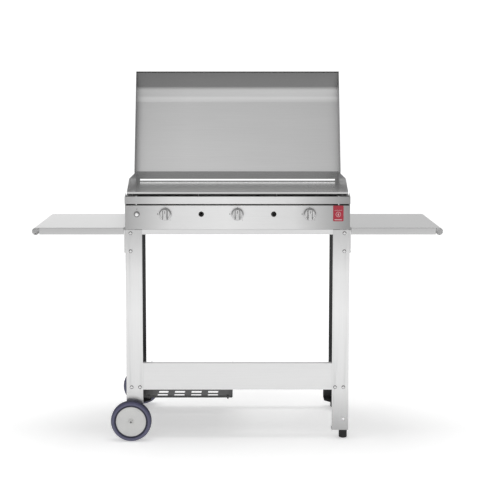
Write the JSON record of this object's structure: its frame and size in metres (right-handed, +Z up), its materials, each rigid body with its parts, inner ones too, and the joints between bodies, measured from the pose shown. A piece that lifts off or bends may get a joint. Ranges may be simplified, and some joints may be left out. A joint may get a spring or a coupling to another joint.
{
  "type": "flat top gas griddle on a stand",
  "caption": "Outdoor gas flat top griddle with an opening hood, side shelves, a grease drawer, push-and-turn gas knobs and a wheeled stand with a gas bottle tray.",
  "frame": {"origin": "centre of the bounding box on the floor", "axes": "+X to the cook's right, +Y from the controls to the back, +Z up"},
  "size_m": [1.464, 0.5921, 1.3249],
  "materials": {
    "stainless": "brushed",
    "plate_steel": "satin rolled",
    "black_paint": "semi-gloss powder coat",
    "galvanised": "matt galvanised",
    "zinc": "zinc plated",
    "black_bolts": "black",
    "knob_metal": "brushed",
    "chrome": "polished",
    "igniter_plastic": "metallised",
    "rubber": "matt",
    "tyre": "satin slate",
    "hub_plastic": "satin",
    "brass": "machined",
    "gas_pipe": "plain tube",
    "burner_steel": "heat stained",
    "ceramic": "glazed",
    "badge_red": "enamelled"
  },
  "bodies": {
    "stand": {"front_leg_left": "stainless", "front_leg_right": "stainless", "front_apron": "stainless", "top_rail_front": "stainless", "top_rails_side": "stainless", "side_rails": "stainless", "shelf_left": "stainless", "shelf_right": "stainless", "shelf_end_plates": "stainless", "control_panel": "stainless", "body_side_left": "stainless", "body_side_right": "stainless", "side_guards": "stainless", "back_splash": "stainless", "griddle_plate": "plate_steel", "plate_studs": "plate_steel", "rear_legs": "black_paint", "rear_foot_brackets": "black_paint", "rear_stretcher": "black_paint", "top_rail_rear": "black_paint", "gas_bottle_tray": "black_paint", "tray_hangers": "black_paint", "body_back": "galvanised", "body_pan": "galvanised", "burner_cradles": "galvanised", "drawer_runners": "galvanised", "plate_supports": "galvanised", "hinge_brackets": "galvanised", "front_bolts": "zinc", "shelf_bolts": "zinc", "axle_nuts": "zinc", "wheel_axle": "zinc", "stand_bolts": "black_bolts", "igniter_body": "igniter_plastic", "rubber_feet": "rubber", "gas_valves": "brass", "gas_inlet": "brass", "gas_manifold": "gas_pipe", "burners": "burner_steel", "electrodes": "ceramic", "badge": "badge_red"},
    "lid": {"lid_panel": "stainless", "lid_side_left": "stainless", "lid_side_right": "stainless", "hinge_pins": "zinc"},
    "drawer": {"grease_drawer": "stainless"},
    "wheel_front": {"tyre_front": "tyre", "hub_front": "hub_plastic"},
    "wheel_rear": {"tyre_rear": "tyre", "hub_rear": "hub_plastic"},
    "button": {"igniter_button": "chrome"},
    "collar_left": {"valve_collar_left": "brass"},
    "knob_left": {"knob_left": "knob_metal", "valve_stem_left": "zinc"},
    "collar_centre": {"valve_collar_centre": "brass"},
    "knob_centre": {"knob_centre": "knob_metal", "valve_stem_centre": "zinc"},
    "collar_right": {"valve_collar_right": "brass"},
    "knob_right": {"knob_right": "knob_metal", "valve_stem_right": "zinc"}
  },
  "joints": [
    {"name": "lid_hinge", "type": "hinge", "parent": "stand", "child": "lid", "pos_m": [0, 0.178, 0.92], "axis": [1, 0, 0], "range_deg": [0, 106.5]},
    {"name": "drawer_slide", "type": "slide", "parent": "stand", "child": "drawer", "axis": [0, -1, 0], "range_m": [0, 0.06]},
    {"name": "wheel_front_spin", "type": "hinge", "parent": "stand", "child": "wheel_front", "pos_m": [-0.382, -0.277, 0.073], "axis": [0, 1, 0], "continuous": true},
    {"name": "wheel_rear_spin", "type": "hinge", "parent": "stand", "child": "wheel_rear", "pos_m": [-0.382, 0.185, 0.073], "axis": [0, 1, 0], "continuous": true},
    {"name": "igniter_push", "type": "slide", "parent": "stand", "child": "button", "axis": [0, 1, 0], "range_m": [0, 0.006], "stiffness_N_per_m": 500, "springref_m": -0.004},
    {"name": "valve_push_left", "type": "slide", "parent": "stand", "child": "collar_left", "axis": [0, 1, 0], "range_m": [0, 0.004], "stiffness_N_per_m": 600, "springref_m": -0.004},
    {"name": "knob_turn_left", "type": "hinge", "parent": "collar_left", "child": "knob_left", "pos_m": [-0.257, -0.258, 0.819], "axis": [0, -1, 0], "range_deg": [0, 180]},
    {"name": "valve_push_centre", "type": "slide", "parent": "stand", "child": "collar_centre", "axis": [0, 1, 0], "range_m": [0, 0.004], "stiffness_N_per_m": 600, "springref_m": -0.004},
    {"name": "knob_turn_centre", "type": "hinge", "parent": "collar_centre", "child": "knob_centre", "pos_m": [0, -0.258, 0.819], "axis": [0, -1, 0], "range_deg": [0, 180]},
    {"name": "valve_push_right", "type": "slide", "parent": "stand", "child": "collar_right", "axis": [0, 1, 0], "range_m": [0, 0.004], "stiffness_N_per_m": 600, "springref_m": -0.004},
    {"name": "knob_turn_right", "type": "hinge", "parent": "collar_right", "child": "knob_right", "pos_m": [0.257, -0.258, 0.819], "axis": [0, -1, 0], "range_deg": [0, 180]}
  ]
}
